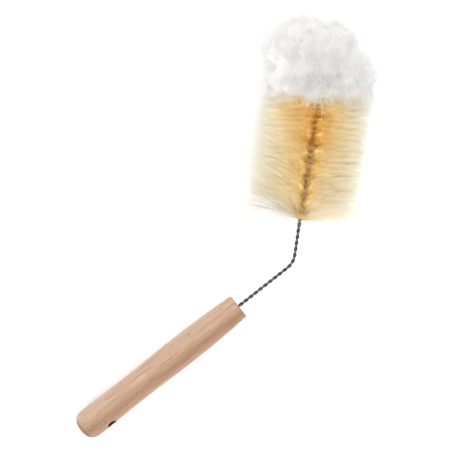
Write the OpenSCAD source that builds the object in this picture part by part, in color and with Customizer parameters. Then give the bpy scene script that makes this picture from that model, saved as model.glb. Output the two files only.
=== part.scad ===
// Bottle brush: a turned beech handle, a bent stem of twisted wire, a round
// head of natural bristle and a soft wool tip. Sizes are in millimetres.
// The brush lies as it comes to rest, on the side of its bristles and on the
// butt of its handle, with +Z up and the bristle head along +Y.

/* [Handle] */
// Length of the turned handle
handle_length = 140; // [100:1:190]
// Diameter beside the rounded butt
butt_d = 21.4; // [18:0.1:28]
// Diameter at the waist
waist_d = 20.2; // [16:0.1:26]
// Diameter at the belly
belly_d = 21.4; // [17:0.1:28]
// Diameter of the flat nose
nose_d = 18.3; // [10:0.1:24]
// Radius of the rounded butt edge
butt_round = 7.7; // [2:0.1:8.5]
// Diameter of the hanging hole
hole_d = 7; // [3:0.1:9]
// Distance of the hanging hole from the butt
hole_from_butt = 20; // [14:0.5:40]
// Turn of the hanging hole out of the plane of the bend, in degrees
hole_turn = 18; // [-80:1:80]

/* [Stem] */
// Diameter of one wire
wire_d = 1.3; // [1:0.05:1.8]
// Length of one full twist of the two wires
pitch = 8.6; // [7:0.1:12]
// Distance from the handle's nose to the corner of the bend
stem_length = 49; // [25:0.5:90]
// Angle of the bend, in degrees
bend = 43.5; // [30:0.5:60]
// Radius of the bend, on the stem's centre line
bend_r = 14; // [8:0.5:25]
// Distance from the corner of the bend to the first bristles
neck_length = 30.5; // [24:0.5:60]
// Depth of wire held in the handle
tang_length = 35; // [20:1:60]

/* [Bristles] */
// Diameter of the bristle head
bristle_d = 75; // [50:1:100]
// Length of the bristle head
bristle_length = 86; // [50:1:130]
// Rise of the lowest bristles' ends towards the tip
bristle_lift = 9; // [0:0.5:14]
// Tilt of the bristle ends across the bend, at the tip
bristle_tilt = 4; // [0:0.5:6]
// Share of each bristle layer's spacing that is filled at the rim
bristle_fill = 0.74; // [0.5:0.02:0.86]
// Raggedness of the bristle ends
bristle_ragged = 1.6; // [0:0.1:3]
// Half the opening of the parting along the upper side, in degrees
bristle_part = 15; // [2:1:40]

/* [Wool tip] */
// Width of the wool tip
wool_width = 75; // [40:1:100]
// Height of the wool tip
wool_height = 55; // [40:1:80]
// Sideways lean of the wool tip, towards the handle's side
wool_lean = 6.5; // [0:0.5:10]
// Depth of the lumps in the wool
wool_lump = 6; // [0:0.1:7]

/* [Hidden] */
$fn = 64;

// stem
wire_r = wire_d / 2;
tangent_len = bend_r * tan(bend / 2);
arc_len = bend_r * bend * PI / 180;
close_h = wire_r + 0.03;
open_h = wire_r + 0.18;
ring_steps = 8;
wire_sides = 6;
tang = min(tang_length, handle_length - hole_from_butt - hole_d);
s_low = -arc_len - (stem_length - tangent_len) - tang;
s_head = neck_length - tangent_len;
s_wool = s_head + bristle_length;
s_top = s_wool + 0.66 * wool_height;

// bristles
layer_gap = pitch / 2;
layer_half = layer_gap * bristle_fill / 2;
turn_steps = 30;
root_x = open_h + 0.3;
root_t = 0.1;

// resting place: the butt and the bristle rim both touch the floor
rest_r = bristle_d / 2;
butt_r = butt_d / 2;
round_r = min(butt_round, butt_r - 1);
reach = stem_length + handle_length;
rest_a = reach - round_r;
rest_b = butt_r - round_r;
drop = asin((rest_r - round_r) / norm([rest_a, rest_b])) - atan2(rest_b, rest_a);
roll = asin(sin(drop) / sin(bend));
side_x = sin(bend) * cos(roll);
x_low = -rest_a * side_x - rest_b * sqrt(1 - side_x * side_x) - round_r;
y_low = -rest_a * cos(bend) - rest_b * sin(bend) - round_r;
y_high = neck_length + bristle_length + wool_height;

// seated at the middle of its outline, on the floor
module place() {
    translate([-(x_low + rest_r) / 2, -(y_low + y_high) / 2, rest_r])
        rotate([0, -roll, 0])
            children();
}

// along the bristle head, with Z up the head and its foot at length y
module head_frame(y) {
    translate([0, y, 0])
        rotate([-90, 0, 0])
            children();
}

// along the handle, with Z from the butt to the nose
module handle_frame() {
    rotate([0, 0, -bend])
        translate([0, -reach, 0])
            rotate([-90, 0, 0])
                children();
}

// smooth step from 0 to 1
function ease(t) = let (u = max(0, min(1, t))) (1 - cos(180 * u)) / 2;

// handle radius at height z: butt, waist, belly and nose blended
waist_z = 0.32 * handle_length;
belly_z = 0.65 * handle_length;
function swell(z) =
    z < waist_z
    ? butt_d + (waist_d - butt_d) * ease((z - round_r) / (waist_z - round_r))
    : z < belly_z
    ? waist_d + (belly_d - waist_d) * ease((z - waist_z) / (belly_z - waist_z))
    : belly_d + (nose_d - belly_d) * pow((z - belly_z) / (handle_length - belly_z), 2);

module handle() {
    rows = 22;
    nose_edge = 0.5;
    z_end = handle_length - nose_edge;
    butt_arc = [
        for (a = [0:10:80])
            [butt_r - round_r + round_r * sin(a), round_r - round_r * cos(a)]
    ];
    side = [
        for (i = [0:rows])
            let (z = round_r + (z_end - round_r) * i / rows)
            [swell(z) / 2, z]
    ];
    nose = [[swell(handle_length) / 2 - nose_edge, handle_length]];
    outline = concat([[0, 0]], butt_arc, side, nose, [[0, handle_length]]);
    color("#dcbb9d")
        place()
            handle_frame()
                difference() {
                    rotate_extrude()
                        polygon(outline);
                    translate([0, 0, handle_length - tang - 1])
                        cylinder(r = close_h + wire_r + 0.03, h = tang + 2);
                    translate([0, 0, hole_from_butt])
                        rotate([0, 0, -hole_turn])
                            rotate([0, 90, 0])
                                cylinder(d = hole_d, h = 2 * belly_d, center = true);
                }
}

// stem centre line at length s, counted up from the top of the bend
function arc_deg(s) = max(-bend, min(0, s / bend_r * 180 / PI));
function axis_at(s) =
    s >= 0
    ? [0, tangent_len + s, 0]
    : s >= -arc_len
    ? [bend_r * (cos(arc_deg(s)) - 1), tangent_len + bend_r * sin(arc_deg(s)), 0]
    : -(tangent_len - arc_len - s) * [sin(bend), cos(bend), 0];

// outward direction at angle a round the centre line
function out_at(s, a) =
    cos(a) * [cos(arc_deg(s)), sin(arc_deg(s)), 0] + sin(a) * [0, 0, -1];

// the wires lie close in the bare stem and open a little to hold the bristles
function spread(s) = close_h + (open_h - close_h) * ease((s - s_head + 8) / 7);
function twist(s) = 360 * s / pitch;
function strand(s, side) = axis_at(s) + spread(s) * out_at(s, twist(s) + side);

// one wire, folded double at the tip and twisted together
module twisted_wire() {
    steps = ceil((s_top - s_low) / pitch * ring_steps);
    rise = [for (i = [0:steps]) s_low + (s_top - s_low) * i / steps];
    tip_out = out_at(s_top, twist(s_top));
    up = [for (s = rise) [strand(s, 0), out_at(s, twist(s))]];
    fold = [
        for (a = [30:30:150])
            let (n = cos(a) * tip_out + sin(a) * [0, 1, 0])
            [axis_at(s_top) + open_h * n, n]
    ];
    down = [
        for (i = [steps:-1:0])
            [strand(rise[i], 180), out_at(rise[i], twist(rise[i]) + 180)]
    ];
    path = concat(up, fold, down);
    last = len(path) - 1;
    points = [
        for (k = [0:last])
            let (d = path[min(k + 1, last)][0] - path[max(k - 1, 0)][0])
            let (t = d / norm(d))
            let (w = path[k][1] - (path[k][1] * t) * t)
            let (n = w / norm(w))
            let (b = cross(t, n))
            for (j = [0:wire_sides - 1])
                path[k][0] + wire_r * (cos(360 * j / wire_sides) * n + sin(360 * j / wire_sides) * b)
    ];
    skin = [
        for (k = [0:last - 1])
            for (j = [0:wire_sides - 1])
                let (p = k * wire_sides + j)
                let (q = k * wire_sides + (j + 1) % wire_sides)
                each [[p, p + wire_sides, q + wire_sides], [p, q + wire_sides, q]]
    ];
    foot = [for (j = [0:wire_sides - 1]) j];
    end = [for (j = [wire_sides - 1:-1:0]) last * wire_sides + j];
    color("#5b5c60")
        place()
            polyhedron(points = points, faces = concat(skin, [foot, end]));
}

// length of a bristle at angle a, as a share: the parting leaves the wire in sight
part_floor = 0.04;
function from_top(a) = abs((a + 270) % 360 - 180);
function parted(a) = part_floor + (1 - part_floor) * pow(min(1, from_top(a) / bristle_part), 1.1);

// bristles clamped between the wires: two layers that wind up the head together
module bristles() {
    turns = bristle_length / pitch;
    steps = ceil(turns * turn_steps);
    foot_turn = twist(s_head) + 90;
    ragged = rands(-1, 0, 2 * (steps + 1), 41);
    points = [
        for (i = [0:steps])
            let (f = i / steps)
            let (z = bristle_length * f)
            let (a = foot_turn + 360 * turns * f)
            let (low = layer_half + bristle_lift)
            let (z_rim = low * (1 - f) + (bristle_length - layer_half) * f - 0.35 * bristle_lift * f * (1 - f))
            for (side = [0, 1])
                let (b = a + 180 * side)
                let (u = [cos(b), sin(b), 0])
                let (n = [-u[1], u[0], 0])
                let (full = rest_r + bristle_ragged * ragged[2 * i + side] * (i % 3 == 0 ? 1 : 0.35))
                let (share = parted(b))
                let (r = root_x + (full - root_x) * share)
                let (half = max(root_t, layer_half * share))
                let (z_full = z_rim + bristle_tilt * u[0] * (1.5 * f - 0.5))
                let (z_end = z + (z_full - z) * share)
                each [
                    root_x * u + root_t * n + [0, 0, z],
                    r * u + [0, 0, z_end - half],
                    r * u + [0, 0, z_end + half],
                    root_x * u - root_t * n + [0, 0, z]
                ]
    ];
    skin = [
        for (i = [0:steps - 1])
            for (j = [0:7])
                let (p = 8 * i + j)
                let (q = 8 * i + (j + 1) % 8)
                each [[q, q + 8, p + 8], [q, p + 8, p]]
    ];
    e = 8 * steps;
    foot = [[3, 2, 1], [3, 1, 0], [7, 6, 5], [7, 5, 4], [4, 3, 0], [4, 0, 7]];
    top = [for (t = foot) [t[2] + e, t[1] + e, t[0] + e]];
    color("#e3cb93")
        place()
            head_frame(neck_length)
                polyhedron(points = points, faces = concat(skin, foot, top));
}

// wool: a leaning dome with soft lumps, pressed a little flat where it lies
wool_r = wool_width / 2;
wide_z = 0.28 * wool_height;
lobes = 36;
function lobe_dir(i) =
    let (z = 1 - (2 * i + 1) / lobes)
    let (r = sqrt(1 - z * z))
    [r * cos(137.508 * i), r * sin(137.508 * i), z];
function lobe_rise(i) = 0.8 + 0.4 * sin(126 * i);
function lump(q) =
    max([for (i = [0:lobes - 1]) lobe_rise(i) - pow(acos(min(1, q * lobe_dir(i))) / 27, 2)]);
function dome(a, lon) =
    let (q = [cos(a) * cos(lon), cos(a) * sin(lon), sin(a)])
    let (rise = a < 0 ? -wide_z * pow(-sin(a), 0.3) : (wool_height - wide_z) * pow(sin(a), 0.83))
    let (edge = a < 0 ? pow(cos(a), 0.5) : pow(cos(a), 0.83))
    let (swing = wool_lump * (max(0, lump(q)) - 0.6) * min(1, 1 + sin(a)))
    let (r = (wool_r + swing) * edge)
    let (z = wide_z + rise)
    let (x = r * cos(lon) - wool_lean * (1 - pow(1 - z / wool_height, 2)))
    let (y = 0.92 * r * sin(lon))
    let (down = y * cos(roll) - x * sin(roll))
    let (k = min(1, (rest_r - 0.3) / max(1, down)))
    [k * x, k * y, z + bristle_tilt * k * x / rest_r * (1 - z / wool_height)];

module wool_tip() {
    around = 40;
    rows = 20;
    points = concat(
        [[0, 0, 0]],
        [
            for (k = [1:rows - 1])
                for (j = [0:around - 1])
                    dome(-90 + 180 * k / rows, 360 * j / around)
        ],
        [[-wool_lean, 0, wool_height]]
    );
    e = 1 + (rows - 1) * around;
    skin = [
        for (k = [0:rows - 3])
            for (j = [0:around - 1])
                let (p = 1 + k * around + j)
                let (q = 1 + k * around + (j + 1) % around)
                each [[p, p + around, q + around], [p, q + around, q]]
    ];
    foot = [for (j = [0:around - 1]) [0, 1 + j, 1 + (j + 1) % around]];
    crown = [for (j = [0:around - 1]) [e, e - around + (j + 1) % around, e - around + j]];
    color("#ecebe8")
        place()
            head_frame(neck_length + bristle_length)
                difference() {
                    polyhedron(points = points, faces = concat(foot, skin, crown));
                    translate([0, 0, -1])
                        cylinder(r = open_h + wire_r + 0.05, h = s_top - s_wool + open_h + wire_r + 1.3);
                }
}

handle();
twisted_wire();
bristles();
wool_tip();
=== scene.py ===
"""Looks of the bottle brush: beech handle, twisted wire, natural bristle and wool tip."""

import math

import bpy
import numpy as np
from mathutils import Matrix, Vector


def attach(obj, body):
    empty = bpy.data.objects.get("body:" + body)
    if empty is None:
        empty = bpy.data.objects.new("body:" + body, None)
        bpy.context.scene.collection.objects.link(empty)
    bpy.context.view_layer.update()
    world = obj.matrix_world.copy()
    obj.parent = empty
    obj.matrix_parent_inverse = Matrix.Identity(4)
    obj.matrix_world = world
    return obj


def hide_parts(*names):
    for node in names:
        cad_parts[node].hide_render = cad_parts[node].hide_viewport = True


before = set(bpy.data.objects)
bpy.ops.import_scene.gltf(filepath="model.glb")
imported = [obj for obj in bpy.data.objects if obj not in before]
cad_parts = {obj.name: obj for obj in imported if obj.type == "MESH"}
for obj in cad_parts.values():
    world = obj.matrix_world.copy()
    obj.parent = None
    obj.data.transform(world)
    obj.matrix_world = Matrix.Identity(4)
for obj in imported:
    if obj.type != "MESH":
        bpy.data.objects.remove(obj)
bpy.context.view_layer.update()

# Seeds of the random draws
BRISTLE_SEED, MASS_SEED, WOOL_SEED = 20, 8, 7
MASS_WOBBLE, GROOVE_WOBBLE, RIM_WOBBLE, COMB_WOBBLE = 12, 3, 5, 9
rng = np.random.default_rng(BRISTLE_SEED)

# Sizes of the solids, in millimetres, and angles in degrees
MM = 0.001
HANDLE = 140.0  # length of the handle
BUTT_D = 21.4  # its diameter at the butt
BUTT_ROUND = 7.7  # rounding of the butt
HOLE_D = 7.0  # hanging hole
HOLE_AT = 20.0  # its distance from the butt
HOLE_TURN = 18.0  # its turn about the handle
WIRE_R = 0.65  # radius of one strand
PITCH = 8.6  # one full turn of the twist
TANG = 35.0  # wire inside the handle
STEM = 49.0  # from the handle to the corner of the bend
BEND = 43.5  # angle of the bend
BEND_R = 14.0  # radius of the bend
NECK = 30.5  # from the corner of the bend to the bristles
RIM = 37.5  # radius of the bristle head
BRISTLE = 86.0  # height of the bristle head
LIFT = 9.0  # rise of the lowest bristles towards the rim
TILT = 4.0  # slant of the head's ends from left to right
WOOL_R = 37.5  # radius of the wool
WOOL_H = 55.0  # height of the wool
LEAN = 6.5  # lean of its top to the left
LUMP = 6.0  # height of its tufts

# Resting place, worked out as the solids are: butt and bristle rim on the floor
bend = math.radians(BEND)
reach = STEM + HANDLE
rest_a, rest_b = reach - BUTT_ROUND, BUTT_D / 2 - BUTT_ROUND
drop = math.asin((RIM - BUTT_ROUND) / math.hypot(rest_a, rest_b)) - math.atan2(rest_b, rest_a)
roll = math.asin(math.sin(drop) / math.sin(bend))
side_x = math.sin(bend) * math.cos(roll)
x_low = -rest_a * side_x - rest_b * math.sqrt(1 - side_x**2) - BUTT_ROUND
y_low = -rest_a * math.cos(bend) - rest_b * math.sin(bend) - BUTT_ROUND
y_high = NECK + BRISTLE + WOOL_H
SEAT = np.array([-(x_low + RIM) / 2, -(y_low + y_high) / 2, RIM])
TURN = np.array(
    [
        [math.cos(roll), 0, -math.sin(roll)],
        [0, 1, 0],
        [math.sin(roll), 0, math.cos(roll)],
    ]
)
HEAD_AXES = [TURN @ np.array(axis) for axis in ((1.0, 0, 0), (0, 0, -1.0), (0, 1.0, 0))]
FIBRE_CLEAR, WOOL_CLEAR = 0.1, 0.3  # how far fibres and wool core stay above the floor


def to_row(p):
    """Points of the bend's own frame in millimetres, as points of the row in metres."""
    return (np.asarray(p, float) @ TURN.T + SEAT) * MM


def head(p, foot=NECK):
    """Points along the bristle head, Z up the head, in the bend's own frame."""
    p = np.asarray(p, float)
    return np.stack([p[..., 0], p[..., 2] + foot, -p[..., 1]], -1)


def floor_squeeze(x, y, clear):
    """Factor that draws points of the head in to its axis where they would reach the floor."""
    down = y * math.cos(roll) - x * math.sin(roll)
    return np.minimum(1, (RIM - clear) / np.maximum(1, down))


def on_floor(path):
    """Keep fibres of the head above the floor that it lies on."""
    path[..., :2] *= floor_squeeze(path[..., 0], path[..., 1], FIBRE_CLEAR)[..., None]
    return path


def draw_in(path, radius, share=1.0):
    """Draw points further from the head's axis than radius in to it, by a share of the way."""
    far = np.hypot(path[..., 0], path[..., 1])
    path[..., :2] *= (1 - share * (1 - np.minimum(1, radius / np.maximum(far, 1))))[..., None]
    return path


def polar(r, a, z):
    """Points from radius, angle and height."""
    return np.stack([r * np.cos(a), r * np.sin(a), z], -1)


def ease(t):
    """Smooth step from 0 to 1."""
    return (1 - np.cos(np.pi * np.clip(t, 0, 1))) / 2


def unit(v):
    """Vectors at length 1."""
    return v / np.maximum(np.linalg.norm(v, axis=-1, keepdims=True), 1e-9)


def soft_spot(height, height_reach, angle, angle_reach):
    """Bell over height and angle, 1 at its middle."""
    return np.exp(-((height / height_reach) ** 2) - (angle / angle_reach) ** 2)


def clipped_normal(spread, most, shape):
    """Normal draws, none further from 0 than most."""
    return np.clip(rng.normal(0, spread, shape), -most, most)


# Meshes

FIBRE_MAP = "Fibre"
UV_MAPS = (FIBRE_MAP, "OFBake")
BANDS = 48  # narrow bands of the fibres' map, each with a shade of its own
BAND_EDGES = (0.15, 0.85)  # part of a band that a fibre takes up
MAP_ENDS = (0.01, 0.99)  # part of the map's length that fibres take up


def add_mesh(name, verts, faces, uv=None):
    """faces: an array of quads or triangles, one width for all."""
    me = bpy.data.meshes.new(name)
    n, k = faces.shape
    me.vertices.add(len(verts))
    me.vertices.foreach_set("co", np.ascontiguousarray(verts, np.float32).ravel())
    me.loops.add(n * k)
    me.loops.foreach_set("vertex_index", np.ascontiguousarray(faces, np.int32).ravel())
    me.polygons.add(n)
    me.polygons.foreach_set("loop_start", np.arange(0, n * k, k, dtype=np.int32))
    me.polygons.foreach_set("use_smooth", np.full(n, True))
    me.update(calc_edges=True)
    if uv is not None:
        flat = np.ascontiguousarray(uv, np.float32).ravel()
        for layer in UV_MAPS:
            me.uv_layers.new(name=layer).data.foreach_set("uv", flat)
    me.validate()
    o = bpy.data.objects.new(name, me)
    bpy.context.scene.collection.objects.link(o)
    return o


def closed_skin(rings):
    """Triangles over rings of points (ring, point, xyz), with both ends drawn in to a point."""
    n, around, _ = rings.shape
    k = np.arange(n - 1)[:, None] * around
    j = np.arange(around)[None]
    j2 = (j + 1) % around
    first, last = n * around, n * around + 1
    top = (n - 1) * around
    corners = (
        (k + j, k + j2, k + around + j2),
        (k + j, k + around + j2, k + around + j),
        (j2, j, first + 0 * j),
        (top + j, top + j2, last + 0 * j),
    )
    faces = np.concatenate([np.stack(c, -1).reshape(-1, 3) for c in corners])
    ends = np.stack([rings[0].mean(0), rings[-1].mean(0)])
    return np.concatenate([rings.reshape(-1, 3), ends]), faces


def ribbons(path, width, along=None):
    """Flat fibres along path (fibre, point, xyz), with half widths (fibre, point): vertices, quads and a
    map. Its U runs from root to tip, or follows along, and its V is one of a few narrow bands."""
    n, m, _ = path.shape
    t = unit(np.gradient(path, axis=1))
    ref = np.where(np.abs(t[:, :1, 2:]) < 0.8, [[[0.0, 0, 1]]], [[[1.0, 0, 0]]])
    a = unit(np.cross(t, np.broadcast_to(ref, t.shape)))
    b = np.cross(t, a)
    face = rng.uniform(0, np.pi, n)[:, None, None]
    side = (a * np.cos(face) + b * np.sin(face)) * width[..., None]
    verts = np.stack([path - side, path + side], 2).reshape(-1, 3)
    k = (np.arange(n)[:, None] * m + np.arange(m - 1)[None]) * 2
    quads = np.stack([k, k + 1, k + 3, k + 2], -1).reshape(-1, 4)
    u = np.broadcast_to(np.linspace(0, 1, m), (n, m)) if along is None else along
    u = np.clip(u, *MAP_ENDS)
    v = rng.integers(0, BANDS, n)[:, None] + 0 * u
    low, high = ((v + edge) / BANDS for edge in BAND_EDGES)
    near, far = np.s_[:, :-1], np.s_[:, 1:]
    corners = ((near, low), (near, high), (far, high), (far, low))
    uv = np.stack([np.stack([u[end], edge[end]], -1) for end, edge in corners], -2)
    return verts, quads, uv.reshape(-1, 2)


# Materials


def srgb(*rgb):
    """Linear colour from values of 0 to 255."""
    shares = [c / 255 for c in rgb]
    return tuple(c / 12.92 if c <= 0.04045 else ((c + 0.055) / 1.055) ** 2.4 for c in shares)


class Shader:
    """Nodes of one material or world. Most methods add a node and give its output."""

    def __init__(self, block, surface="Principled BSDF"):
        block.use_nodes = True
        self.block = block
        self.tree = block.node_tree
        self.surface = self.tree.nodes[surface]

    def feed(self, socket, value):
        """Link a socket to another node's output, or set it to a value or a colour."""
        if isinstance(value, bpy.types.NodeSocket):
            self.tree.links.new(value, socket)
        else:
            socket.default_value = (*value, 1) if socket.type == "RGBA" else value

    def node(self, kind, inputs, output=0, **settings):
        n = self.tree.nodes.new(kind)
        for key, value in settings.items():
            setattr(n, key, value)
        for key, value in inputs.items():
            self.feed(n.inputs[key], value)
        return n.outputs[output]

    def set_surface(self, sockets):
        """Set or link sockets of the surface itself."""
        for key, value in sockets.items():
            self.feed(self.surface.inputs[key], value)

    def ramp(self, value, stops):
        r = self.tree.nodes.new("ShaderNodeValToRGB")
        marks = r.color_ramp.elements
        while len(marks) < len(stops):
            marks.new(0.5)
        for mark, (place, colour) in zip(marks, stops):
            mark.position = place
            mark.color = (*colour, 1)
        self.feed(r.inputs[0], value)
        return r.outputs[0]

    def mix(self, share, a, b, blend="MIX"):
        sockets = {0: share, 6: a, 7: b}
        return self.node("ShaderNodeMix", sockets, 2, data_type="RGBA", blend_type=blend)

    def noise(self, place, scale, detail, rough):
        sockets = {"Vector": place, "Scale": scale, "Detail": detail, "Roughness": rough}
        return self.node("ShaderNodeTexNoise", sockets, "Fac")

    def remap(self, value, low, high, to_low=0.0, to_high=1.0):
        return self.node("ShaderNodeMapRange", dict(enumerate((value, low, high, to_low, to_high))))

    def calc(self, operation, *values):
        return self.node("ShaderNodeMath", dict(enumerate(values)), operation=operation)

    def vector(self, operation, *values, output="Vector"):
        return self.node("ShaderNodeVectorMath", dict(enumerate(values)), output, operation=operation)

    def shade(self, colour, factor):
        sockets = {0: colour, "Scale": factor}
        return self.node("ShaderNodeVectorMath", sockets, operation="SCALE")

    def join(self, x, y, z):
        return self.node("ShaderNodeCombineXYZ", {0: x, 1: y, 2: z})

    def split(self, vector):
        n = self.tree.nodes.new("ShaderNodeSeparateXYZ")
        self.feed(n.inputs[0], vector)
        return n.outputs

    def bump(self, height, strength, distance):
        sockets = {"Height": height, "Strength": strength, "Distance": distance}
        self.set_surface({"Normal": self.node("ShaderNodeBump", sockets)})

    def local_coords(self, origin, axes):
        """Object coordinates in a frame of its own, in millimetres: dot products."""
        place = self.node("ShaderNodeTexCoord", {}, "Object")
        away = self.vector("SUBTRACT", place, tuple(origin))
        in_mm = [tuple(1000 * c for c in axis) for axis in axes]
        return [self.vector("DOT_PRODUCT", away, axis, output="Value") for axis in in_mm]

    def fibre_tone(self, stops, darkest, palest):
        """Tone of fibres from root to tip, each band of their map in a shade of its own."""
        along, across, _ = self.split(self.node("ShaderNodeUVMap", {}, uv_map=FIBRE_MAP))
        band = self.calc("FLOOR", self.calc("MULTIPLY", across, float(BANDS)))
        own = self.node("ShaderNodeTexWhiteNoise", {"W": band}, "Value", noise_dimensions="1D")
        return self.shade(self.ramp(along, stops), self.remap(own, 0, 1, darkest, palest))

    def see_light(self, colour, share):
        """Thin fibres pass light on: a share of the surface is translucent."""
        through = self.node("ShaderNodeBsdfTranslucent", {0: colour})
        both = self.node("ShaderNodeMixShader", {0: share, 1: self.surface.outputs[0], 2: through})
        self.feed(self.tree.nodes["Material Output"].inputs[0], both)


def new_shader(name):
    return Shader(bpy.data.materials.new(name))


# Handle: the solid itself, in beech

down_dir = np.array([math.sin(bend), math.cos(bend), 0])
butt = to_row(-reach * down_dir)
h_axis = TURN @ down_dir
h_side = TURN @ np.array([math.cos(bend), -math.sin(bend), 0])
h_up = TURN @ np.array([0.0, 0, 1])
turn = math.radians(HOLE_TURN)
hole_axis = h_side * math.cos(turn) + h_up * math.sin(turn)
hole_flat = np.cross(h_axis, hole_axis)

FINE_TONES = ((0.33, srgb(144, 105, 81)), (0.5, srgb(172, 133, 108)), (0.67, srgb(198, 160, 134)))
BROAD_TONES = ((0.3, srgb(162, 122, 97)), (0.7, srgb(192, 157, 132)))
# factors across the handle: painted light on one side, a painted shaded band on the other, and a painted
# reflection of the floor at the far edge
PAINTED_LIGHT_ACROSS = (
    (0.0, (1.12, 1.33, 1.48)),
    (0.33, (1.02, 1.14, 1.19)),
    (0.6, (0.82, 0.81, 0.76)),
    (0.7, (0.74, 0.71, 0.65)),
    (0.8, (0.85, 0.85, 0.81)),
    (1.0, (1.12, 1.2, 1.25)),
)
GRIP_R = 10.5  # about the radius of the handle
# colours of the ray flecks, of the end grain and painted shade on the butt, and of the painted shade in
# the bore
FLECK, BUTT_GRAIN_AND_SHADE, BORE_SHADE = srgb(128, 86, 62), srgb(104, 80, 64), srgb(44, 24, 14)
END_GRAIN = srgb(176, 132, 100)


def beech():
    s = new_shader("Beech")
    x, y, z = s.local_coords(butt, (h_side, h_up, h_axis))

    def grain(stretch, scale, detail, rough):
        """Noise drawn out along the handle."""
        return s.noise(s.join(x, y, s.calc("MULTIPLY", z, stretch)), scale, detail, rough)

    # fine lengthwise grain, broad tone and short dark ray flecks
    fine = grain(stretch=0.035, scale=1.2, detail=5, rough=0.68)
    broad = grain(stretch=0.06, scale=0.22, detail=2, rough=0.5)
    fleck = grain(stretch=0.3, scale=1.0, detail=1, rough=0.4)
    col = s.mix(0.4, s.ramp(fine, FINE_TONES), s.ramp(broad, BROAD_TONES))
    # painted light and shade across the handle
    across = s.ramp(s.remap(x, -GRIP_R, GRIP_R), PAINTED_LIGHT_ACROSS)
    col = s.mix(1.0, col, across, "MULTIPLY")
    spots = s.remap(fleck, 0.66, 0.78, to_high=0.6)
    col = s.mix(spots, col, FLECK)
    # darker over the rounded butt: partly its end grain, partly painted shade
    butt_grain_and_shade = s.remap(z, 1.2, 3.4, to_low=0.75, to_high=0.0)
    col = s.mix(butt_grain_and_shade, col, BUTT_GRAIN_AND_SHADE)
    # painted shade darkens the bore, and the end grain of the nose is a little deeper in tone
    hx, hy = s.local_coords(butt + h_axis * HOLE_AT * MM, (h_axis, hole_flat))
    far = s.calc("SQRT", s.calc("ADD", s.calc("MULTIPLY", hx, hx), s.calc("MULTIPLY", hy, hy)))
    painted_bore_shade = s.remap(far, HOLE_D / 2 + 0.05, HOLE_D / 2 + 0.3, to_low=0.92, to_high=0.0)
    col = s.mix(painted_bore_shade, col, BORE_SHADE)
    nose = s.remap(z, HANDLE - 0.3, HANDLE - 0.05, to_high=0.35)
    col = s.mix(nose, col, END_GRAIN)
    rough = s.remap(fine, 0.2, 0.8, to_low=0.55, to_high=0.42)
    s.set_surface({"Base Color": col, "Roughness": rough, "Specular IOR Level": 0.35})
    s.bump(fine, strength=0.25, distance=0.0002)
    return s.block


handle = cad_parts["handle"]
handle.data.materials.clear()
handle.data.materials.append(beech())

# Stem: two strands of one wire, twisted, in galvanised steel

STRAND_CLEAR = 0.03  # from each strand to the axis of the twist
HEAD_OPEN = 0.15  # more of it in the head, where fibres hold the strands apart
OPEN_FROM, OPEN_OVER = 8.0, 7.0  # where that starts below the head, and over what length
FOLD_UP = 0.66  # share of the wool's height that the wire reaches
RINGS_A_TURN, WIRE_SIDES, FOLD_STEP = 22, 12, 15
CROWN_R = 2.2 * WIRE_R  # just outside the twist

tangent = BEND_R * math.tan(bend / 2)
arc = BEND_R * bend
s_low = -arc - (STEM - tangent) - TANG
s_head = NECK - tangent
s_top = s_head + BRISTLE + FOLD_UP * WOOL_H
HEAD_FOOT = to_row(head([0.0, 0, 0]))


def axis_at(s):
    """Points of the twist's axis at lengths s along it, counted from the end of the bend."""
    g = np.clip(s / BEND_R, -bend, 0)
    on_arc = np.stack([BEND_R * (np.cos(g) - 1), tangent + BEND_R * np.sin(g), 0 * s], -1)
    up = np.stack([0 * s, tangent + s, 0 * s], -1)
    low = -(tangent - arc - s)[:, None] * down_dir
    return np.where((s >= 0)[:, None], up, np.where((s >= -arc)[:, None], on_arc, low))


def out_at(s, a):
    """Directions square to that axis, at angles a round it."""
    g = np.clip(s / BEND_R, -bend, 0)
    e1 = np.stack([np.cos(g), np.sin(g), 0 * s], -1)
    return np.cos(a)[:, None] * e1 + np.sin(a)[:, None] * np.array([0, 0, -1.0])


def strand(s, side):
    """Points along one strand, on its side of the axis."""
    a = 2 * np.pi * s / PITCH + side
    h = WIRE_R + STRAND_CLEAR + HEAD_OPEN * ease((s - s_head + OPEN_FROM) / OPEN_OVER)
    return axis_at(s) + h[:, None] * out_at(s, a)


lengths = np.linspace(s_low, s_top, int((s_top - s_low) / PITCH * RINGS_A_TURN))
tip = lengths[-1:]
tip_out = out_at(tip, 2 * np.pi * tip / PITCH)[0]
fold_a = np.radians(np.arange(FOLD_STEP, 180, FOLD_STEP))[:, None]
fold_way = np.cos(fold_a) * tip_out + np.sin(fold_a) * np.array([0, 1.0, 0])
fold = axis_at(tip)[0] + (WIRE_R + STRAND_CLEAR + HEAD_OPEN) * fold_way
wire_path = np.concatenate([strand(lengths, 0), fold, strand(lengths[::-1], np.pi)])
wire_axis = np.concatenate([axis_at(lengths), axis_at(tip) + 0 * fold, axis_at(lengths[::-1])])


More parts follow.
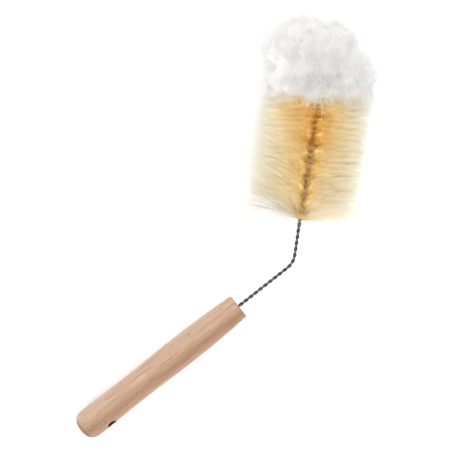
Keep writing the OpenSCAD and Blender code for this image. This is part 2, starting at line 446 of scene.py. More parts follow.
def wire_mesh():
    """One tube with rings that turn smoothly along the path, and how far out its points lie."""
    p = to_row(wire_path)
    t = unit(np.gradient(p, axis=0))
    n = np.zeros_like(p)
    n[0] = unit(np.cross(t[0], [0.3, 0.2, 0.9]))
    for i in range(1, len(p)):
        w = n[i - 1] - (n[i - 1] @ t[i]) * t[i]
        n[i] = w / np.linalg.norm(w)
    b = np.cross(t, n)
    ang = np.arange(WIRE_SIDES)[None, :, None] * 2 * np.pi / WIRE_SIDES
    verts = p[:, None] + WIRE_R * MM * (np.cos(ang) * n[:, None] + np.sin(ang) * b[:, None])
    k = np.arange(len(p) - 1)[:, None] * WIRE_SIDES
    j = np.arange(WIRE_SIDES)[None, :]
    j2 = (j + 1) % WIRE_SIDES
    quads = np.stack([k + j, k + j2, k + WIRE_SIDES + j2, k + WIRE_SIDES + j], -1).reshape(-1, 4)
    crown = np.linalg.norm(verts - to_row(wire_axis)[:, None], axis=-1) / (CROWN_R * MM)
    return verts.reshape(-1, 3), quads, crown.ravel()


STEEL_TONES = ((0.3, (0.05, 0.046, 0.05)), (0.7, (0.12, 0.112, 0.118)))
# colour of the painted highlight on the strands' outer crowns, and the brown of the wire inside the head
STEEL_HIGHLIGHT, HEAD_BROWN = (0.17, 0.16, 0.165), srgb(128, 88, 36)


def steel():
    s = new_shader("Steel wire")
    dull = s.noise(s.node("ShaderNodeTexCoord", {}, "Object"), scale=900, detail=3, rough=0.6)
    # painted highlight: the outer crowns of the strands are lighter, where they would catch the light
    crown = s.node("ShaderNodeAttribute", {}, "Fac", attribute_name="crown")
    painted_highlight = s.remap(crown, 0.72, 0.94)
    col = s.mix(painted_highlight, s.ramp(dull, STEEL_TONES), STEEL_HIGHLIGHT)
    # inside the head the wire is a dull brown
    (up_head,) = s.local_coords(HEAD_FOOT, HEAD_AXES[2:])
    brown_in_head = s.remap(up_head, -1.0, 4.0, to_high=0.85)
    col = s.mix(brown_in_head, col, HEAD_BROWN)
    rough = s.remap(dull, 0.3, 0.7, to_low=0.36, to_high=0.5)
    s.set_surface({"Base Color": col, "Metallic": 0.85, "Roughness": rough})
    s.bump(dull, strength=0.12, distance=0.0001)
    return s.block


verts, quads, crown = wire_mesh()
wire = add_mesh("wire_strands", verts, quads)
wire.data.attributes.new("crown", "FLOAT", "POINT").data.foreach_set("value", crown.astype(np.float32))
wire.data.materials.append(steel())
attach(wire, "root")
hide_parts("twisted_wire")

# Bristles: a close mass and single fibres, wound into two layers by the twist of the wire

VIEW = -np.pi / 2  # angle round the head of the middle of the parting, on its upper side
PART = math.radians(15)  # half the angle of the parting
LAYER_HALF = PITCH / 2 * 0.37  # half the height of one layer
RIM_DIP = 0.35  # dip of the rim's heights between the ends, as a factor of the lift
PARTING_POWER = 1.1  # how the parting opens from its middle

# the close mass: shares of the rim's radius and of the height, and millimetres in the parting
MASS_R, MASS_LAYER, MASS_UNEVEN = 0.6, 0.04, 0.04  # radius, more on the layers, and unevenness
COLLAR_R, COLLAR_FROM, COLLAR_OVER = 0.08, 0.02, 0.1  # how it is drawn in to the wire at the foot
WALLS, WALL_SWAY = 0.8, 0.35  # width of the parting over that of the single fibres, and its sway
GROOVE_R, GROOVE_UNEVEN = 0.9, 4  # floor of the parting at the foot, and its unevenness at the tip
GROOVE_RISE, GROOVE_FROM = 24, 0.2  # rise of that floor in a whole height, and where it starts
GROOVE_LAYER, LAYER_FROM_FOOT = 2.5, 0.05  # rise of that floor on the layers, and where it is full
MASS_AROUND, MASS_ROWS, MASS_CAP = 270, 230, 7  # points of the skin around, up and over the ends
MASS_FOOT, MASS_GRAIN, CAP_END = 0.025, 0.006, 0.05  # lowest ring, fine roughness, last ring of an end

# places of deeper amber: height, angle from the parting and strength; below 0 a paler place, painted
# light low in the parting
AMBER_PATCHES = (
    (71.0, -0.75, 0.5),
    (58.0, -0.6, 0.2),
    (68.0, 0.35, 0.15),
    (56.0, 0.0, 0.85),
    (73.0, 0.0, 0.75),
    (26.0, 0.3, -0.5),
    (14.0, 0.3, -0.5),
)
PATCH_HEIGHT, PATCH_ANGLE = 6, 0.4
WAVES, WAVE_SUM = 10, 3.2  # waves in the uneven pattern, and about their highest sum


def wobble(a, z, seed):
    """Smooth uneven pattern over the rim, about -1 to 1."""
    r = np.random.default_rng(seed)
    total = 0
    for _ in range(WAVES):
        k = r.integers(1, 6)
        rate = r.uniform(0.15, 0.75)
        phase = r.uniform(0, 6.3)
        total = total + np.sin(k * a + z * rate + phase) * r.uniform(0.4, 1)
    return total / WAVE_SUM


def from_view(a):
    """Angle round the head, counted from the middle of the parting."""
    return (a + 1.5 * np.pi) % (2 * np.pi) - np.pi


def twist_at(z):
    """Angle of the first layer at a height up the head."""
    return 2 * np.pi * (s_head + z) / PITCH + np.pi / 2


def amber_patch_keep(z, a):
    """Share of its paleness that a fibre keeps, lower in the places of deeper amber."""
    keep = 1.0
    for height, where, strength in AMBER_PATCHES:
        spot = soft_spot(z - height, PATCH_HEIGHT, from_view(a) - where, PATCH_ANGLE)
        keep = keep * (1 - strength * spot)
    return keep


def rim_height(f, a):
    """Height at the rim of fibres from a share f of the head's height."""
    level = (LAYER_HALF + LIFT) * (1 - f) + (BRISTLE - LAYER_HALF) * f
    return level - RIM_DIP * LIFT * f * (1 - f) + TILT * np.cos(a) * (1.5 * f - 0.5)


def slope(g):
    """Share of the way to its height at the rim that a fibre has risen at a share g of the radius."""
    return 0.8 * g + 0.2 * g * g


def mass_radius(a, f):
    """Radius of the close mass of bristle: shallow notches between layers, and the parting."""
    d = from_view(a)
    z = BRISTLE * f
    layer = 0.5 + 0.5 * np.cos(2 * (twist_at(z) - a))
    full = RIM * (MASS_R + MASS_LAYER * layer**0.7 + MASS_UNEVEN * wobble(a, z, MASS_WOBBLE))
    full = full * (COLLAR_R + (1 - COLLAR_R) * ease((f - COLLAR_FROM) / COLLAR_OVER))
    # each wall of the parting sways in its own way
    right_wall = np.sin(z * 0.52) + 0.7 * np.sin(z * 1.13 + 2)
    left_wall = np.sin(z * 0.47 + 2) + 0.7 * np.sin(z * 0.97)
    sway = np.where(d > 0, right_wall, left_wall)
    opened = np.clip(np.abs(d) / (WALLS * PART * (1 + WALL_SWAY * sway)), 0, 1)
    # the floor of the parting rises towards the tip, and on the layers
    uneven = GROOVE_UNEVEN * f * np.clip(wobble(a * 0, z, GROOVE_WOBBLE), -1, 1)
    floor_r = GROOVE_R + GROOVE_RISE * np.clip(f - GROOVE_FROM, 0, 1) + uneven
    on_layer = GROOVE_LAYER * (1 + f) * layer**2 * np.clip(f / LAYER_FROM_FOOT, 0, 1)
    floor_r = np.minimum(floor_r + on_layer, full)
    return floor_r + (full - floor_r) * opened**PARTING_POWER


def bristle_mass():
    """The close mass of bristle behind the single fibres."""
    a = np.linspace(0, 2 * np.pi, MASS_AROUND, endpoint=False)[None]
    f = np.linspace(MASS_FOOT, 1, MASS_ROWS)[:, None]
    grain = np.random.default_rng(MASS_SEED).normal(0, MASS_GRAIN, (MASS_ROWS, MASS_AROUND))
    rim = mass_radius(a, f) * (1 + grain)
    shut = np.linspace(1, CAP_END, MASS_CAP)[1:, None]
    rad = np.concatenate([(shut * rim[:1])[::-1], rim, shut * rim[-1:]])
    f = np.concatenate([f[:1] + 0 * shut, f, 1 + 0 * shut])
    lift = wobble(a + 0 * f, BRISTLE * f, RIM_WOBBLE)
    z = BRISTLE * f + (rim_height(f, a) + lift - BRISTLE * f) * slope(rad / RIM)
    return closed_skin(to_row(head(polar(rad, a, z))))


# single fibres: millimetres, radians and shares, with half widths and tones as ranges
STEPS = (0.0, 0.35, 0.7, 1.0)  # places of the points of a fibre, from root to tip
TAPER = np.array([1.0, 0.95, 0.85, 0.6])  # its width there
PALER_TIP = np.array([0, 0.02, 0.04, 0.06])  # how much paler a short end is there
BRISTLE_HALF, SHORT_HALF, LOOSE_HALF = (0.05, 0.085), (0.08, 0.13), (0.09, 0.14)
LAYER_SPREAD = 0.42  # fan of the fibres of one layer
LONGEST, SHORTER = 1.04, 0.2  # reach of the longest fibres, and how far others fall short
PARTED_R, UNPARTED = 0.04, 0.15  # reach in the parting, and the share of fibres that ignore it
PARTED_MORE, STAND_OUT = (-1, 4), 1  # more of that reach, and how far fibres there leave the mass
ROOT_DEPTH, ROOT_R = (3, 9), 0.6  # depth of the roots in the mass, and their least radius
COMB, SAG = 0.05, 0.6  # sideways lean of the tips, and bow of the fibres
RIM_UNEVEN, RIM_SCATTER = 1.2, 0.9  # how far layers and single tips stray up and down
TOP_RISE, TOP_MORE = 2, 4  # how far the topmost fibres stand up into the wool
FOOT_HANG = 8  # how far the lowest fibres hang down on the right
CURL_LENGTH, CURL_TONES = 10, (0.06, 0.26)  # length that a curl's turn goes by, and its tones
CURL_FOOT, CURL_DEPTH, CURL_R = 0.02, 1, 1  # lowest share of height, depth and least radius of roots
CURL_TIGHT = 4  # radius that the sideways turn goes by where the fibre is closer to the axis
CROSS_UP, CROSS_TONES = 0.56, (0.12, 0.4)  # share of the head's height with ends across the wire
CROSS_FROM, CROSS_TO = (0.4, 1.3), (0.1, 0.9)  # angles from the parting where they start and end
CROSS_R, CROSS_OUT = (0.5, 7), (1, 4)  # distance from the mass at the start, and more at the end
CROSS_SCATTER, CROSS_RISE, CROSS_FOOT = 0.8, 0.8, 0.005  # strays in height, and the lowest share of it
WIRE_COVER = 1.4  # about the radius of the twist inside the head
LOOSE_ANGLE, LOOSE_FAN = math.pi + 0.35, 0.3  # middle and fan of the loose tuft
LOOSE_FOOT, LOOSE_TIP, LOOSE_REACH = (0.5, 3), (0.5, 12), (37, 43)  # heights of its ends, and reach
LOOSE_R, LOOSE_BOW = 1.2, 0.9  # radius of its roots, and its bow
LOOSE_TONES = np.array([0.6, 0.94, 0.97, 1.0])


def from_root_to_tip(point_at):
    """Points along fibres (fibre, point, xyz)."""
    return np.stack([point_at(t) for t in STEPS], 1)


def half_widths(span, count):
    """Half widths along fibres (fibre, point)."""
    return rng.uniform(*span, count)[:, None] * TAPER


def bristle_fibres(count):
    """Single fibres that stand out of the mass, combed a little away from the parting."""
    f = rng.uniform(0, 1, count)
    z = BRISTLE * f
    a = twist_at(z) + rng.integers(0, 2, count) * np.pi
    a = a + rng.normal(0, LAYER_SPREAD, count)
    wall = mass_radius(a, f)
    r_tip = RIM * (LONGEST - SHORTER * rng.random(count) ** 1.5)
    opened = np.minimum(1, np.abs(from_view(a)) / PART) ** PARTING_POWER
    parted = RIM * (PARTED_R + (1 - PARTED_R) * opened) + rng.uniform(*PARTED_MORE, count)
    kept = np.maximum(np.minimum(r_tip, parted), wall + STAND_OUT)
    r_tip = np.where(rng.random(count) < UNPARTED, r_tip, kept)
    a_tip = a + rng.normal(0, COMB, count) + COMB * wobble(a, z, COMB_WOBBLE)
    r0 = np.clip(wall - rng.uniform(*ROOT_DEPTH, count), ROOT_R, None)
    z_end = rim_height(f, a) + RIM_UNEVEN * wobble(a, z, RIM_WOBBLE) + rng.normal(0, RIM_SCATTER, count)
    # the topmost tenth stands up into the wool, and the lowest eighth hangs a little on the right
    z_end = z_end + (TOP_RISE + TOP_MORE * rng.random(count) ** 3) * np.clip(10 * f - 9, 0, 1)
    z_end = z_end - FOOT_HANG * rng.random(count) * (1 + np.cos(a)) / 2 * np.clip(1 - 8 * f, 0, 1)
    sag = rng.normal(0, SAG, (count, 2))

    def point_at(t):
        r = r0 + (r_tip - r0) * t
        way = a + (a_tip - a) * t * t
        bow = np.sin(np.pi * t)
        u = np.stack([np.cos(way), np.sin(way)], -1)
        xy = u * r[:, None] + np.stack([-u[:, 1], u[:, 0]], -1) * (sag[:, :1] * bow)
        height = z + (z_end - z) * slope(r / RIM) + sag[:, 1] * bow
        return np.concatenate([xy, height[:, None]], -1)

    return on_floor(from_root_to_tip(point_at)), half_widths(BRISTLE_HALF, count)


def curl_fibres(count, spread, length, turn):
    """Short ends that stand up in and about the parting and curl."""
    f = rng.uniform(CURL_FOOT, 1, count)
    z = BRISTLE * f
    a = VIEW + rng.normal(0, spread, count)
    r0 = np.maximum(mass_radius(a, f) - CURL_DEPTH, CURL_R)
    r1 = r0 + rng.uniform(*length, count)
    rise = rim_height(f, a) - z
    curl = CURL_LENGTH * rng.normal(0, turn, (count, 2))

    def point_at(t):
        r = r0 + (r1 - r0) * t
        way = a + curl[:, 0] * t * t / np.maximum(r, CURL_TIGHT)
        return polar(r, way, z + rise * slope(r / RIM) + curl[:, 1] * t * t)

    width = half_widths(SHORT_HALF, count)
    tone = rng.uniform(*CURL_TONES, count) * amber_patch_keep(z + rise, a)
    return from_root_to_tip(point_at), width, tone[:, None] + PALER_TIP


def cross_fibres(count):
    """Short ends that arch across the wire from one side to the other, where its strands cross."""
    turns = np.round((s_head + CROSS_UP * BRISTLE * rng.random(count)) / (PITCH / 2))
    z = turns * PITCH / 2 - s_head + rng.normal(0, CROSS_SCATTER, count)
    f = np.clip(z / BRISTLE, CROSS_FOOT, 1)
    side = rng.choice([-1.0, 1.0], count)
    a0 = VIEW + side * rng.uniform(*CROSS_FROM, count)
    a1 = VIEW - side * rng.uniform(*CROSS_TO, count)
    r0 = np.maximum(mass_radius(0 * f + VIEW, f), WIRE_COVER) + rng.uniform(*CROSS_R, count)
    r1 = r0 + rng.uniform(*CROSS_OUT, count)
    rise = rng.normal(0, CROSS_RISE, count)

    def point_at(t):
        r = r0 + (r1 - r0) * t
        way = a0 + (a1 - a0) * t
        lift = (rim_height(f, way) - BRISTLE * f) * slope(r / RIM)
        return polar(r, way, BRISTLE * f + lift + rise * t)

    width = half_widths(SHORT_HALF, count)
    tone = rng.uniform(*CROSS_TONES, count)
    return from_root_to_tip(point_at), width, tone[:, None] + PALER_TIP


def stray_fibres(count):
    """A loose pale tuft at the foot of the head, on the left."""
    a = rng.normal(LOOSE_ANGLE, LOOSE_FAN, count)
    z0 = rng.uniform(*LOOSE_FOOT, count)
    r1 = rng.uniform(*LOOSE_REACH, count)
    z1 = rng.uniform(*LOOSE_TIP, count)

    def point_at(t):
        r = LOOSE_R + (r1 - LOOSE_R) * t
        return polar(r, a, z0 + (z1 - z0) * slope(r / RIM) + LOOSE_BOW * np.sin(np.pi * t))

    width = half_widths(LOOSE_HALF, count)
    return from_root_to_tip(point_at), width, LOOSE_TONES + np.zeros((count, 1))


# tones from root to tip: the deep amber at the roots is partly their own colour and partly painted shade
# deep in the head
BRISTLE_TONES = (
    (0.0, srgb(172, 118, 24)),
    (0.05, srgb(226, 178, 58)),
    (0.12, srgb(250, 222, 134)),
    (0.3, srgb(254, 239, 198)),
    (0.6, srgb(255, 248, 226)),
    (0.9, srgb(249, 245, 232)),
    (1.0, srgb(254, 254, 252)),
)
MASS_TONES = (
    (0.0, srgb(164, 112, 20)),
    (0.08, srgb(228, 178, 66)),
    (0.25, srgb(252, 225, 148)),
    (0.5, srgb(252, 231, 176)),
    (1.0, srgb(254, 243, 212)),
)
# the amber of the roots reaches further out near the tip of the head than near its foot,
# and shows through the bristles that point up
AMBER_FOOT, AMBER_TIP, AMBER_UP = 0.55, 1.07, 0.4
AMBER_FROM = 0.6  # radius where the tones of the mass start
# painted light: the topmost bristles are paler where the wool shades them
TOP_PAINTED_LIGHT, PALE_FROM, PALE_OVER = 0.25, 76, 8  # the topmost bristles are paler
PALEST = 0.9  # only the loose tuft is paler than this


def amber(p):
    """Place of points on the way from root to tip, as the tones above see it."""
    up_side = np.where(p[..., 1] < 0, AMBER_UP, 1) * p[..., 1]
    share = np.hypot(p[..., 0], up_side) / RIM
    z_root, end = p[:, :1, 2], p[:, -1:]
    share = share ** (AMBER_FOOT + (AMBER_TIP - AMBER_FOOT) * np.clip(z_root / BRISTLE, 0, 1))
    share = share * amber_patch_keep(end[..., 2], np.arctan2(end[..., 1], end[..., 0]))
    # painted light on the topmost bristles, against the wool's shade
    return np.minimum(share + TOP_PAINTED_LIGHT * np.clip((z_root - PALE_FROM) / PALE_OVER, 0, 1), PALEST)


def bristle_stuff():
    s = new_shader("Natural bristle")
    tone = s.fibre_tone(BRISTLE_TONES, darkest=0.86, palest=1.04)
    s.set_surface({"Base Color": tone, "Roughness": 0.5, "Specular IOR Level": 0.15})
    s.see_light(tone, share=0.65)
    return s.block


def mass_stuff():
    s = new_shader("Bristle mass")
    x, y, z = s.local_coords(HEAD_FOOT, HEAD_AXES)
    # amber from the wire outwards, as on the single fibres: partly the roots' own colour, partly painted
    # shade deep in the head
    below = s.calc("MAXIMUM", y, 0.0)
    above = s.calc("MULTIPLY", s.calc("MINIMUM", y, 0.0), AMBER_UP)
    rad = s.vector("LENGTH", s.join(x, s.calc("ADD", below, above), 0.0), output="Value")
    patch = s.noise(s.join(x, y, z), scale=0.16, detail=2, rough=0.6)
    power = s.remap(z, 0, BRISTLE, AMBER_FOOT, AMBER_TIP)
    power = s.calc("ADD", power, s.remap(patch, 0.3, 0.7, to_low=-0.22, to_high=0.22))
    along = s.ramp(s.calc("POWER", s.remap(rad, AMBER_FROM, RIM), power), MASS_TONES)
    # streaks that run outwards
    out_x, out_y, _ = s.split(s.vector("NORMALIZE", s.join(x, y, 0.0)))
    place = s.join(out_x, out_y, s.calc("MULTIPLY", z, 0.06))
    streak = s.noise(place, scale=70, detail=3, rough=0.7)
    tone = s.shade(along, s.remap(streak, 0.3, 0.7, to_low=0.88, to_high=1.05))
    s.set_surface({"Base Color": tone, "Roughness": 0.6, "Specular IOR Level": 0.25})
    s.bump(streak, strength=0.4, distance=0.0005)
    return s.block


mass = add_mesh("bristle_mass", *bristle_mass())
mass.data.materials.append(mass_stuff())
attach(mass, "root")
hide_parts("bristles")
straw = bristle_stuff()
fibres = (
    bristle_fibres(18000),
    bristle_fibres(18000),
    stray_fibres(1300),
    curl_fibres(900, spread=0.2, length=(2, 7), turn=0.2),
    curl_fibres(1800, spread=0.5, length=(4, 12), turn=0.25),
    cross_fibres(4500),
)
for part, (path, width, *tone) in enumerate(fibres, 1):
    along = tone[0] if tone else amber(path)
    o = add_mesh(f"bristle_fibres_{part}", *ribbons(to_row(head(path)), width * MM, along))
    o.data.materials.append(straw)
    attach(o, "root")

# Wool: a soft core and locks of fine fibre

rng = np.random.default_rng(WOOL_SEED)
WOOL_FOOT = NECK + BRISTLE
WIDEST = 0.28 * WOOL_H  # height of its widest place
LOW_RISE, HIGH_RISE, LOW_ROUND, HIGH_ROUND = 0.3, 0.83, 0.5, 0.83  # powers of the dome's outline
FLATTER = 0.92  # depth of the wool over its width
# tufts: points spread evenly over a ball by the golden angle
LOBES, GOLDEN, LOBE_REACH = 36, 137.508, math.radians(27)
lobe = np.arange(LOBES)
lobe_z = 1 - (2 * lobe + 1) / LOBES
lobe_r = np.sqrt(1 - lobe_z**2)
LOBE_AT = polar(lobe_r, np.radians(GOLDEN * lobe), lobe_z)
LOBE_H = 0.8 + 0.4 * np.sin(np.radians(126 * lobe))
# gaps between the larger locks: height, longitude and depth
GAPS = ((20.0, math.pi, 10.0), (38.0, 0.0, 3.0), (50.0, -2.2, 2.5), (9.0, 0.0, 3.0))
GAP_HEIGHT, GAP_ANGLE = 4, 0.8
# places of single wisps: height and longitude
WISPS = (
    (29.0, 0.0),
    (30.0, 0.1),
    (31.0, -0.1),
    (48.0, 2.8),
    (47.0, 3.0),
    (52.0, 0.6),
    (53.0, -0.6),
    (12.0, 3.1),
)
CORE_ROWS, CORE_AROUND, CORE_SCALE, CORE_SINK = 80, 150, 0.96, 2.5
WOOL_STEPS = (0.0, 0.33, 0.67, 1.0)  # places of the points of a fibre, from root to tip
WOOL_TAPER = np.array([1.0, 0.95, 0.8, 0.45])  # its width there
WOOL_HALF = 0.055  # half the width of a fibre
WIDTH_RANGE = (0.8, 1.2)  # shares of that half width
WOOL_ROOTS, HEM_ROOTS = (0.92, 0.98), (0.97, 1.02)  # roots on the way from the foot to the surface
UPPER_FULL = 0.08  # how much fuller the upper side is
# fibres of a tuft: spread and most of their roots and curl, and the curl of the tuft as a whole
TUFT_WIDE, FIBRE_CURL, TUFT_CURL = (1.3, 2.5), (0.4, 0.8), (0.25, 0.5)
HEM_CLUMP, HEM_CURL = (1.0, 2), (0.25, 0.5)  # the same of a clump of the hem
TUFT_LENGTHS, FIBRE_LENGTHS, HEM_LENGTHS = (0.7, 1.1), (0.5, 1.1), (0.3, 1.3)  # shares of the length
WAY_SCATTER, FIBRE_SCATTER, HEM_SCATTER = 0.35, 0.25, 0.15  # of tufts and clumps, and of their fibres
STAND, STAND_MORE, STAND_RANGE = 0.25, 0.5, (0.3, 1.7)  # how far tufts stand off, more at the shoulders
FLAT_LONG, LUMP_LONG = 0.4, 0.9  # length of tufts between the lumps, and more of it on them
GAP_ABOVE, GAP_FROM, GAP_CUT, SHORTEST = 4, 1.1, 0.3, 0.08  # how tufts under a gap are shorter
FAN_FROM = np.array([0, 0, -6.0])  # where the locks fan out from
PUFF_FROM = np.array([-LEAN * 0.6, 0, 0.36 * WOOL_H])  # middle of the wool
SHOULDER, SHOULDER_WIDE = 0.9, 0.3  # latitude where locks stand off most
TUCK_BELOW, TUCK, LOWEST = 14, 0.5, -3  # low tufts are drawn inside the rim, and none hangs lower
HEM_MIDDLE, HEM_AT, HEM_WIDE = 70, VIEW - 0.03, 0.2  # clumps over the parting, their place and spread
HEM_DIP = 0.9  # how much longer the hem is there and on the right
HEM_HEIGHTS, HEM_OUT = (1, 9), 0.25  # heights of its roots, and how far it hangs outwards
HEM_REACH = RIM + 4  # furthest that the hem hangs from the axis


def latitude(z):
    """Latitude of the wool's surface at a height above its foot."""
    below = -(np.clip(1 - z / WIDEST, 0, 1) ** (1 / LOW_RISE))
    above = np.clip((z - WIDEST) / (WOOL_H - WIDEST), 0, 1) ** (1 / HIGH_RISE)
    return np.arcsin(np.where(z < WIDEST, below, above))


def lump_at(lat, lon):
    """Rise of the tufts that the wool is gathered into, from 0 to 1.2."""
    q = polar(np.cos(lat), lon, np.sin(lat))
    near = np.arccos(np.clip(q @ LOBE_AT.T, -1, 1)) / LOBE_REACH
    return np.maximum(0, LOBE_H - near**2).max(-1)


def gap_at(z, lon):
    """Depth of the gaps between locks."""
    total = 0
    for height, where, depth in GAPS:
        turn_by = (lon - where + np.pi) % (2 * np.pi) - np.pi
        total = total + depth * soft_spot(z - height, GAP_HEIGHT, turn_by, GAP_ANGLE)
    return total


def dome(lat, lon, scale=1.0):
    """Point of the wool's surface, Z up the head, from latitude and longitude."""
    s = np.sin(lat)
    c = np.maximum(np.cos(lat), 0)
    up = np.where(s < 0, -WIDEST * np.abs(s) ** LOW_RISE, (WOOL_H - WIDEST) * np.abs(s) ** HIGH_RISE)
    edge = np.where(s < 0, c**LOW_ROUND, c**HIGH_ROUND)
    z = WIDEST + up * scale
    lump = LUMP * (lump_at(lat, lon) - 0.6) * np.minimum(1, 1 + s)
    r = ((WOOL_R + lump) * edge - gap_at(z, lon)) * scale
    x = r * np.cos(lon) - LEAN * (1 - (1 - z / WOOL_H) ** 2)
    y = FLATTER * r * np.sin(lon)
    squeeze = floor_squeeze(x, y, WOOL_CLEAR)
    slant = TILT * squeeze * x / RIM * (1 - z / WOOL_H)
    return np.stack([squeeze * x, squeeze * y, z + slant], -1)


def wool_core():
    lat = np.radians(np.linspace(-88, 88, CORE_ROWS))[:, None] + np.zeros((1, CORE_AROUND))
    lon = np.linspace(0, 2 * np.pi, CORE_AROUND, endpoint=False)[None] + np.zeros((CORE_ROWS, 1))
    p = dome(lat, lon, CORE_SCALE)
    p[..., 2] -= CORE_SINK * (1 - p[..., 2] / WOOL_H)
    return closed_skin(to_row(head(p, WOOL_FOOT)))


# greyer towards the core and the roots of the fibres: painted shade deep in the wool
CORE_TONES = ((0.3, srgb(227, 226, 225)), (0.7, srgb(236, 235, 234)))
LOCK_TONES = ((0.0, srgb(238, 237, 236)), (0.5, srgb(244, 243, 242)), (1.0, srgb(249, 249, 249)))
WOOL_FINISH = {
    "Roughness": 0.9,
    "Specular IOR Level": 0.15,
    "Sheen Weight": 0.3,
    "Sheen Roughness": 0.5,
}


def core_stuff():
    s = new_shader("White wool core")
    x, y, z = s.local_coords(to_row(head([0.0, 0, -8], WOOL_FOOT)), HEAD_AXES)
    streak = s.noise(s.vector("NORMALIZE", s.join(x, y, z)), scale=17, detail=5, rough=0.7)
    s.set_surface({"Base Color": s.ramp(streak, CORE_TONES), **WOOL_FINISH})
    s.bump(streak, strength=0.5, distance=0.002)
    return s.block


def lock_stuff():
    s = new_shader("White wool")
    tone = s.fibre_tone(LOCK_TONES, darkest=0.96, palest=1.01)
    s.set_surface({"Base Color": tone, **WOOL_FINISH})
    s.see_light(tone, share=0.5)
    return s.block


def wool_root(lat, lon, shares):
    """Roots of wool fibre, close to the surface, fullest on the upper side."""
    p = dome(lat, lon) * rng.uniform(*shares, len(lat))[:, None]
    p[:, 1] *= 1 + UPPER_FULL * np.clip(-np.sin(lon), 0, 1)
    return p


def wool_width(count):
    return WOOL_HALF * rng.uniform(*WIDTH_RANGE, count)[:, None] * WOOL_TAPER


def curled(length, way, curl):
    """Steps from the roots of fibres that set off one way and curl."""
    return np.stack([length * (way * t + curl * t * t) for t in WOOL_STEPS], 1)


def wool_tufts(tufts, each, length, most, loose=1.0, lift=1.0, at=()):
    """Tufts of fine curled fibre that lie over the core and stand off it most at its shoulders."""
    z, lon = rng.uniform(1, WOOL_H, tufts), rng.uniform(0, 2 * np.pi, tufts)
    for k, place in enumerate(at):
        z[k], lon[k] = place
    lat = latitude(z)
    p = wool_root(lat, lon, WOOL_ROOTS)
    out = unit(p - PUFF_FROM)
    fan = unit(p - FAN_FROM) + rng.normal(0, WAY_SCATTER, (tufts, 3))
    flat = fan - out * (fan * out).sum(-1, keepdims=True)
    shoulder = np.exp(-(((lat - SHOULDER) / SHOULDER_WIDE) ** 2))
    stand = lift * (STAND + STAND_MORE * shoulder) * rng.uniform(*STAND_RANGE, tufts)
    way = unit(stand[:, None] * out + flat)
    own = np.repeat(np.arange(tufts), each)
    n = len(own)
    start = p[own] + loose * clipped_normal(*TUFT_WIDE, (n, 3))
    set_off = unit(way[own] + loose * rng.normal(0, FIBRE_SCATTER, (n, 3)))
    curl = loose * clipped_normal(*FIBRE_CURL, (n, 3))
    curl = curl + clipped_normal(*TUFT_CURL, (tufts, 3))[own]
    under_gap = np.clip(GAP_FROM - GAP_CUT * gap_at(z + GAP_ABOVE, lon), SHORTEST, 1)
    full = (FLAT_LONG + LUMP_LONG * lump_at(lat, lon)) * under_gap
    long = length * (full * rng.uniform(*TUFT_LENGTHS, tufts))[own] * rng.uniform(*FIBRE_LENGTHS, n)
    off = curled(long[:, None], set_off, curl)
    off *= np.minimum(1, most / np.maximum(np.linalg.norm(off, axis=-1, keepdims=True), 0.1))
    path = start[:, None] + off
    draw_in(path, WOOL_R - TUCK, np.clip(1 - path[..., 2] / TUCK_BELOW, 0, 1))
    path[..., 2] = np.maximum(path[..., 2], LOWEST)
    return on_floor(path), wool_width(n)


def wool_hem(clumps, each, length):
    """Ends at the foot of the wool that hang in clumps over the topmost bristles, longest over the
    parting and on the right."""
    lat, lon = latitude(rng.uniform(*HEM_HEIGHTS, clumps)), rng.uniform(0, 2 * np.pi, clumps)
    lon[:HEM_MIDDLE] = rng.normal(HEM_AT, HEM_WIDE, HEM_MIDDLE)
    over_parting = np.exp(-((from_view(lon) / HEM_WIDE) ** 2))
    dip = 1 + HEM_DIP * over_parting + HEM_DIP * np.clip(np.cos(lon), 0, 1)
    hang = length * dip * rng.uniform(*HEM_LENGTHS, clumps)
    p = wool_root(lat, lon, HEM_ROOTS)
    way = np.array([0, 0, -1.0]) + HEM_OUT * unit(p * [1, 1, 0])
    way = way + rng.normal(0, WAY_SCATTER, (clumps, 3))
    own = np.repeat(np.arange(clumps), each)
    n = len(own)
    start = p[own] + clipped_normal(*HEM_CLUMP, (n, 3))
    set_off = unit(way[own] + rng.normal(0, HEM_SCATTER, (n, 3)))
    curl = clipped_normal(*HEM_CURL, (n, 3))
    long = (hang[own] * rng.uniform(*FIBRE_LENGTHS, n))[:, None]
    path = draw_in(start[:, None] + curled(long, set_off, curl), HEM_REACH)
    return on_floor(path), wool_width(n)


core = add_mesh("wool_core", *wool_core())
core.data.materials.append(core_stuff())
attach(core, "root")
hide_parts("wool_tip")
fluff = lock_stuff()
locks = (
    wool_tufts(900, each=24, length=10.0, most=8.5),
    wool_tufts(900, each=24, length=10.0, most=8.5),
    wool_tufts(130, each=40, length=12.0, most=9.5, loose=0.35, lift=2.5, at=WISPS),
    wool_hem(520, each=16, length=7.0),
)
for part, (path, width) in enumerate(locks, 1):
    o = add_mesh(f"wool_locks_{part}", *ribbons(to_row(head(path, WOOL_FOOT)), width * MM))
    o.data.materials.append(fluff)
    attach(o, "root")

# Floor, light and camera, in metres

FLOOR_HALF = 4
corners = [(-1, -1), (1, -1), (1, 1), (-1, 1)]
floor_me = bpy.data.meshes.new("floor")
floor_me.from_pydata([(x * FLOOR_HALF, y * FLOOR_HALF, 0) for x, y in corners], [], [(0, 1, 2, 3)])
floor = bpy.data.objects.new("floor", floor_me)
bpy.context.scene.collection.objects.link(floor)
pale = new_shader("Pale floor")
pale.set_surface({"Base Color": (0.96, 0.96, 0.96), "Roughness": 0.9, "Specular IOR Level": 0.1})
floor_me.materials.append(pale.block)

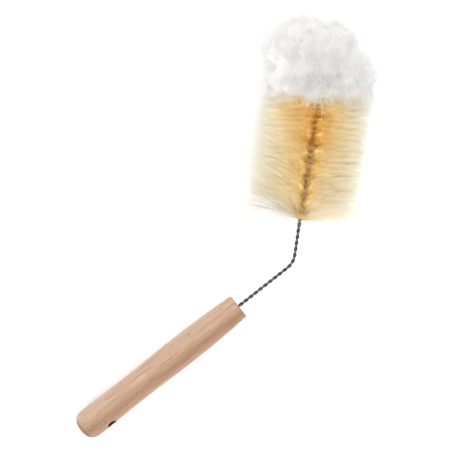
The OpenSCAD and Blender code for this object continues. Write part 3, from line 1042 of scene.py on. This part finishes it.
# a white room, a little brighter towards the upper left
BRIGHT_WAY = Vector((-0.5, 0.1, 0.86)).normalized()
sky = Shader(bpy.data.worlds.new("studio"), "Background")
bpy.context.scene.world = sky.block
sky_way = sky.node("ShaderNodeTexCoord", {}, "Generated")
toward = sky.vector("DOT_PRODUCT", sky_way, BRIGHT_WAY, output="Value")
strength = sky.remap(toward, -0.5, 0.95, to_low=0.88, to_high=1.2)
sky.set_surface({"Color": (1, 1, 1), "Strength": strength})

MIDDLE = Vector((0, 0, 0))


def softbox(name, place, size, power):
    """A round lamp that faces the floor under the middle of the brush."""
    d = bpy.data.lights.new(name, "AREA")
    d.shape = "DISK"
    d.size = size
    d.energy = power
    o = bpy.data.objects.new(name, d)
    o.location = place
    o.rotation_euler = (MIDDLE - Vector(place)).to_track_quat("-Z", "Y").to_euler()
    bpy.context.scene.collection.objects.link(o)


softbox("key", (-0.5, 0.0, 1.4), size=1.0, power=7)
softbox("front", (0.5, 0.1, 1.5), size=0.6, power=2.5)

# The photo looks square on to the bend, with the head leaning a little to the right
PX = 0.70  # millimetres in one pixel of the photo
FRAME = 450  # its width and height in pixels
BEND_PX = (293.6, 262.9)  # where it shows the corner of the bend
HEAD_LEAN = 8.3  # lean of the head in it, in degrees
DISTANCE, SENSOR = 1.25, 36
lean = math.radians(HEAD_LEAN)
right = np.array([math.cos(lean), math.sin(lean), 0])
up = np.array([-math.sin(lean), math.cos(lean), 0])
back = TURN @ np.array([0, 0, 1.0])
target = to_row((FRAME / 2 - BEND_PX[0]) * PX * right + (BEND_PX[1] - FRAME / 2) * PX * up)
axes = np.stack([TURN @ right, TURN @ up, back, target + DISTANCE * back], -1)
cam_data = bpy.data.cameras.new("camera")
cam_data.sensor_width = SENSOR
cam_data.lens = SENSOR * DISTANCE / (FRAME * PX * MM)
cam_data.clip_end = 20
cam = bpy.data.objects.new("camera", cam_data)
cam.matrix_world = Matrix([*axes.tolist(), (0, 0, 0, 1)])
bpy.context.scene.collection.objects.link(cam)
bpy.context.scene.camera = cam
bpy.context.scene.view_settings.view_transform = "Standard"
